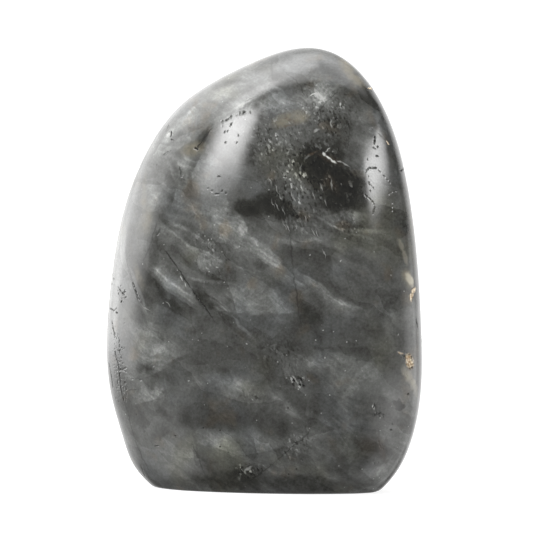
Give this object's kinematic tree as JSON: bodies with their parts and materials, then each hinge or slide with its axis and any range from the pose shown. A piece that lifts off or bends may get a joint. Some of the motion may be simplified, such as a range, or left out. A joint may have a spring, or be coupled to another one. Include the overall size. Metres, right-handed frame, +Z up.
{
  "type": "polished labradorite freeform",
  "caption": "Upright polished labradorite freeform: a smooth, rounded grey stone that stands on a flat cut base as a display piece.",
  "frame": {"origin": "on the surface the stone stands on, under the middle of its box", "axes": "+Z up, -Y towards the viewer of the broad front face, +X to that viewer's right"},
  "size_m": [0.0716, 0.0426, 0.1],
  "materials": {
    "polished_labradorite": "high polish, smoky grey with pale veils, dark cleavage patches, fine cracks and a few rough tan pits"
  },
  "bodies": {
    "root": {"labradorite": "polished_labradorite"}
  },
  "joints": []
}
